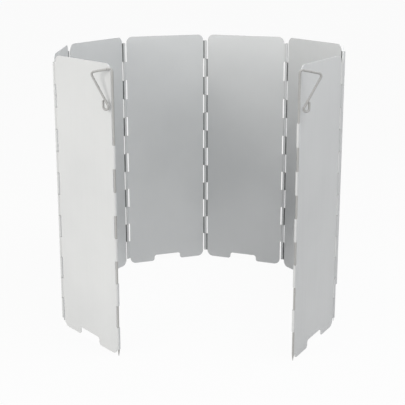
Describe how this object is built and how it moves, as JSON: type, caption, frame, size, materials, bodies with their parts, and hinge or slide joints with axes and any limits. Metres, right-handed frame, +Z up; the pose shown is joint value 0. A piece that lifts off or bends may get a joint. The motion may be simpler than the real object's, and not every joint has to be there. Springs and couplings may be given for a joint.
{
  "type": "stove windscreen",
  "caption": "Folding aluminium windscreen for a camping stove: hinged upright panels standing in an open ring, with air notches at the foot and a bent wire clip at each free edge.",
  "frame": {"origin": "on the floor, in the middle of the box around the standing ring", "axes": "+Z up, +Y from the open mouth towards the back of the ring, +X to the right seen from the mouth"},
  "size_m": [0.2586, 0.275, 0.24],
  "materials": {
    "panel_sheet": "satin rolled sheet",
    "hinge_wire": "drawn wire",
    "clip_wire": "bright drawn wire"
  },
  "bodies": {
    "panel_1": {"panel_1": "panel_sheet", "hinge_pin_1": "hinge_wire"},
    "panel_2": {"panel_2": "panel_sheet", "hinge_pin_2": "hinge_wire"},
    "panel_3": {"panel_3": "panel_sheet", "hinge_pin_3": "hinge_wire"},
    "panel_4": {"panel_4": "panel_sheet", "hinge_pin_4": "hinge_wire"},
    "panel_5": {"panel_5": "panel_sheet", "hinge_pin_5": "hinge_wire"},
    "panel_6": {"panel_6": "panel_sheet", "hinge_pin_6": "hinge_wire"},
    "panel_7": {"panel_7": "panel_sheet", "hinge_pin_7": "hinge_wire"},
    "panel_8": {"panel_8": "panel_sheet"},
    "left_clip": {"left_clip_wire": "clip_wire"},
    "right_clip": {"right_clip_wire": "clip_wire"}
  },
  "joints": [
    {"name": "hinge_1", "type": "hinge", "parent": "panel_2", "child": "panel_1", "pos_m": [-0.12707, -0.0578, 0.12], "axis": [0, 0, 1], "range_deg": [0, 137]},
    {"name": "hinge_2", "type": "hinge", "parent": "panel_3", "child": "panel_2", "pos_m": [-0.12787, 0.0302, 0.12], "axis": [0, 0, -1], "range_deg": [0, 207]},
    {"name": "hinge_3", "type": "hinge", "parent": "panel_4", "child": "panel_3", "pos_m": [-0.08186, 0.10521, 0.12], "axis": [0, 0, 1], "range_deg": [0, 137]},
    {"name": "hinge_4", "type": "hinge", "parent": "panel_4", "child": "panel_5", "pos_m": [0.00056, 0.13606, 0.12], "axis": [0, 0, 1], "range_deg": [0, 218]},
    {"name": "hinge_5", "type": "hinge", "parent": "panel_5", "child": "panel_6", "pos_m": [0.08186, 0.10236, 0.12], "axis": [0, 0, -1], "range_deg": [0, 139]},
    {"name": "hinge_6", "type": "hinge", "parent": "panel_6", "child": "panel_7", "pos_m": [0.12787, 0.02734, 0.12], "axis": [0, 0, 1], "range_deg": [0, 216]},
    {"name": "hinge_7", "type": "hinge", "parent": "panel_7", "child": "panel_8", "pos_m": [0.11331, -0.05945, 0.12], "axis": [0, 0, -1], "range_deg": [0, 155]},
    {"name": "left_clip_swivel", "type": "hinge", "parent": "panel_1", "child": "left_clip", "pos_m": [-0.07231, -0.1267, 0.12], "axis": [0, 0, 1], "range_deg": [-6, 162]},
    {"name": "right_clip_swivel", "type": "hinge", "parent": "panel_8", "child": "right_clip", "pos_m": [0.07, -0.13606, 0.12], "axis": [0, 0, -1], "range_deg": [-18, 150]}
  ],
  "couplings": [
    {"joint": "hinge_1", "follows": "hinge_4", "ratio": 0.62844},
    {"joint": "hinge_2", "follows": "hinge_4", "ratio": 0.94954},
    {"joint": "hinge_3", "follows": "hinge_4", "ratio": 0.62844},
    {"joint": "hinge_5", "follows": "hinge_4", "ratio": 0.63761},
    {"joint": "hinge_6", "follows": "hinge_4", "ratio": 0.99082},
    {"joint": "hinge_7", "follows": "hinge_4", "ratio": 0.71101}
  ]
}
